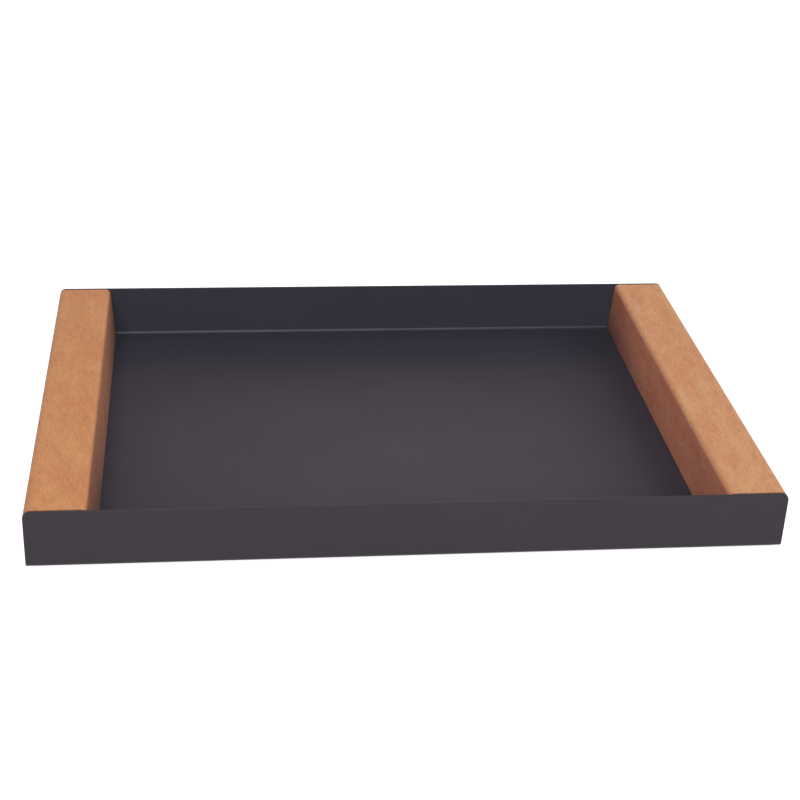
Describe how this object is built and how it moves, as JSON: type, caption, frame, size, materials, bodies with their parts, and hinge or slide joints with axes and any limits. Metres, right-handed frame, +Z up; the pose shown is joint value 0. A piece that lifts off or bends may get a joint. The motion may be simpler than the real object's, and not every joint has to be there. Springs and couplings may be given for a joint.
{
  "type": "serving tray",
  "caption": "Rectangular serving tray: a dark powder-coated folded metal sheet with low front and rear walls, closed at each end by a solid wooden bar that serves as a grip.",
  "frame": {"origin": "under the middle of the tray, on the surface that the rubber feet stand on", "axes": "+X along the tray towards the right end bar, +Y from the front wall to the rear wall, +Z up"},
  "size_m": [0.45, 0.31, 0.0395],
  "materials": {
    "powder_coat": "fine satin powder coat",
    "beech": "oiled, planed smooth",
    "screw_steel": "zinc plated",
    "foot_rubber": "matt"
  },
  "bodies": {
    "root": {"tray_sheet": "powder_coat", "left_end_bar": "beech", "right_end_bar": "beech", "left_bar_screw_front": "screw_steel", "left_bar_screw_middle": "screw_steel", "left_bar_screw_rear": "screw_steel", "right_bar_screw_front": "screw_steel", "right_bar_screw_middle": "screw_steel", "right_bar_screw_rear": "screw_steel", "foot_front_left": "foot_rubber", "foot_front_right": "foot_rubber", "foot_rear_left": "foot_rubber", "foot_rear_right": "foot_rubber"}
  },
  "joints": []
}
